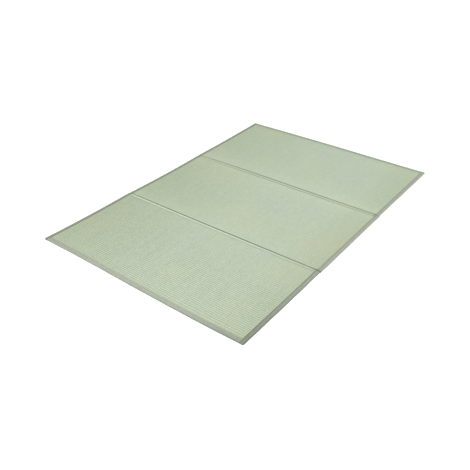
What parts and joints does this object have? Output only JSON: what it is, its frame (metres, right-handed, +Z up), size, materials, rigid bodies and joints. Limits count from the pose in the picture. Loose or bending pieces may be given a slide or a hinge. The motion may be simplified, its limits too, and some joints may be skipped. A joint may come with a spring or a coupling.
{
  "type": "tatami mat",
  "caption": "Flat folding tatami mat: padded rush boards in a row, narrow rush strips at the folds, and cloth tape wrapped round the outer edges.",
  "frame": {"origin": "on the floor, under the middle of the mat's outline", "axes": "+X along the folds, to the right seen from the near end; +Y along the mat from the near end to the far end; +Z up, out of the face"},
  "size_m": [1.4179, 2.1092, 0.01],
  "materials": {
    "rush": "woven rush, matt, fine ribs",
    "edge_tape": "grey-green ribbed cloth tape, matt"
  },
  "bodies": {
    "root": {"near_board": "rush", "middle_board": "rush", "far_board": "rush", "near_fold_strip": "rush", "far_fold_strip": "rush", "near_left_tape": "edge_tape", "near_right_tape": "edge_tape", "middle_left_tape": "edge_tape", "middle_right_tape": "edge_tape", "far_left_tape": "edge_tape", "far_right_tape": "edge_tape", "near_end_tape": "edge_tape", "far_end_tape": "edge_tape"}
  },
  "joints": []
}
